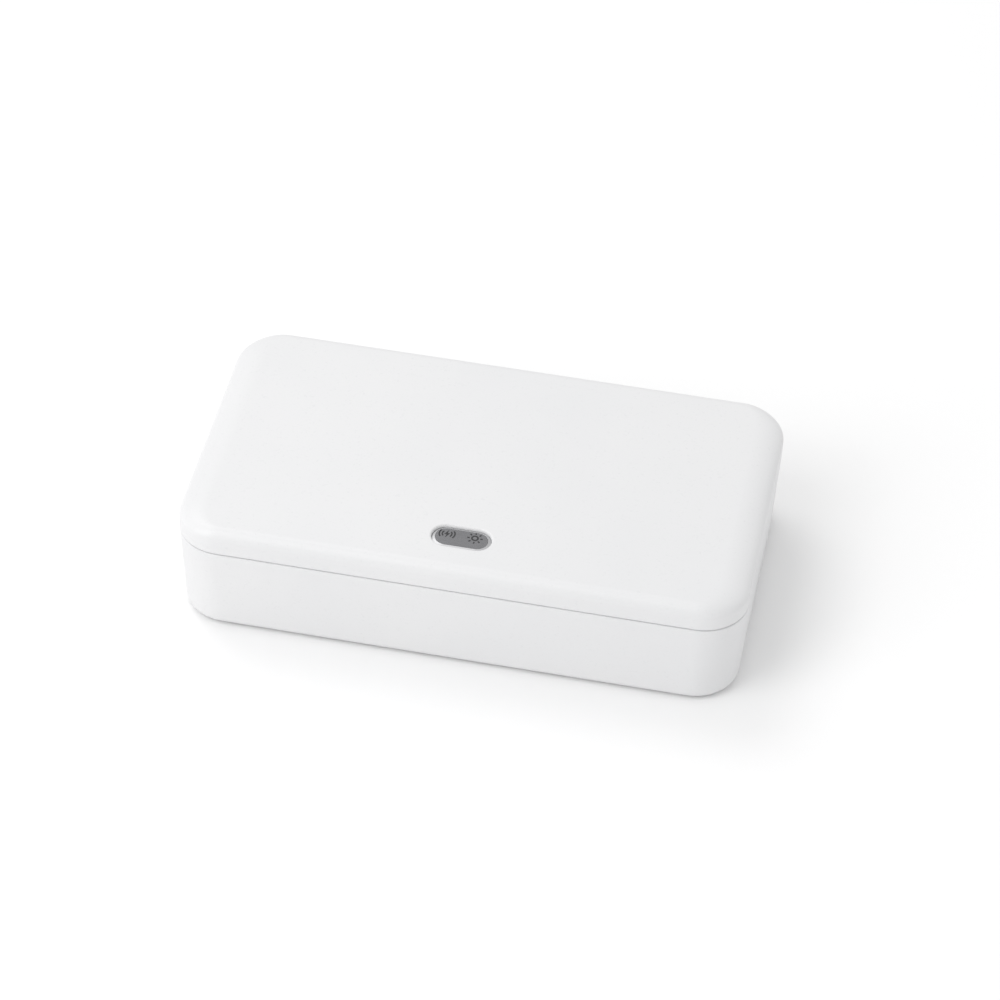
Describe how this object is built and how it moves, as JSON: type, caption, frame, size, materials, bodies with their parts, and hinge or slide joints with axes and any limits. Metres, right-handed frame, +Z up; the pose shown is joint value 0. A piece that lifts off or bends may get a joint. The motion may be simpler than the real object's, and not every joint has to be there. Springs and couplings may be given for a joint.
{
  "type": "uv sterilizer cabinet",
  "caption": "Clamshell UV steriliser box with a rear-hinged lid, lamps in base and lid, a mirror-lined chamber, a charging pad on top and a push button.",
  "frame": {"origin": "on the surface that the box stands on, under the middle of the case", "axes": "+X to the right along the long side as seen from the button side, +Y towards the hinge, +Z up"},
  "size_m": [0.228, 0.128, 0.051],
  "materials": {
    "white_plastic": "satin injection-moulded ABS",
    "mirror_liner": "vacuum-metallised, mirror bright",
    "quartz": "clear quartz tube",
    "clear_plastic": "clear, polished",
    "grey_metal": "dark grey, fine satin with a bright chamfer",
    "circuit_board": "green solder mask on glass-fibre board",
    "dark_plastic": "moulded, matt",
    "steel": "plated",
    "nickel": "bright nickel plate",
    "aluminium": "drawn can",
    "copper_coil": "enamelled copper wire, wound flat",
    "ferrite": "sintered, matt",
    "rubber": "soft, matt",
    "lead_jacket": "flexible jacket"
  },
  "bodies": {
    "base": {"base_shell": "white_plastic", "base_liner": "mirror_liner", "lower_lamp": "quartz", "lower_lamp_cap_left": "white_plastic", "lower_lamp_cap_right": "white_plastic", "support_rib_1": "clear_plastic", "support_rib_2": "clear_plastic", "support_rib_3": "clear_plastic", "support_rib_4": "clear_plastic", "main_board": "circuit_board", "transformer": "dark_plastic", "capacitor_1": "aluminium", "capacitor_2": "aluminium", "usb_inlet": "steel", "inverter_board": "circuit_board", "inverter_transformer": "dark_plastic", "sensor_board": "circuit_board", "hall_sensor": "dark_plastic", "base_catch_magnet_left": "nickel", "base_catch_magnet_right": "nickel", "hinge_pin_left": "steel", "hinge_pin_right": "steel", "lid_lead_lower": "lead_jacket", "foot_front_left": "rubber", "foot_front_right": "rubber", "foot_rear_left": "rubber", "foot_rear_right": "rubber", "base_screw_front_left": "steel", "base_screw_front_right": "steel", "base_screw_rear_left": "steel", "base_screw_rear_right": "steel"},
    "lid": {"lid_shell": "white_plastic", "lid_liner": "mirror_liner", "upper_lamp": "quartz", "upper_lamp_cap_left": "white_plastic", "upper_lamp_cap_right": "white_plastic", "charging_coil": "copper_coil", "ferrite_sheet": "ferrite", "charger_board": "circuit_board", "charger_chip": "dark_plastic", "charger_inductor": "dark_plastic", "button_board": "circuit_board", "tact_switch": "dark_plastic", "led_charge": "clear_plastic", "led_lamp": "clear_plastic", "lid_catch_magnet_left": "nickel", "lid_catch_magnet_right": "nickel", "sensor_magnet": "nickel", "lid_lead_upper": "lead_jacket", "lid_screw_front_left": "steel", "lid_screw_front_right": "steel", "lid_screw_rear_left": "steel", "lid_screw_rear_right": "steel"},
    "button": {"button_cap": "grey_metal", "switch_plunger": "dark_plastic", "light_pipe_charge": "clear_plastic", "light_pipe_lamp": "clear_plastic"}
  },
  "joints": [
    {"name": "lid_hinge", "type": "hinge", "parent": "base", "child": "lid", "pos_m": [0, 0.0606, 0.04], "axis": [-1, 0, 0], "range_deg": [0, 95]},
    {"name": "button_press", "type": "slide", "parent": "lid", "child": "button", "axis": [0, 0, -1], "range_m": [0, 0.0005], "stiffness_N_per_m": 1500, "springref_m": -0.0003}
  ]
}
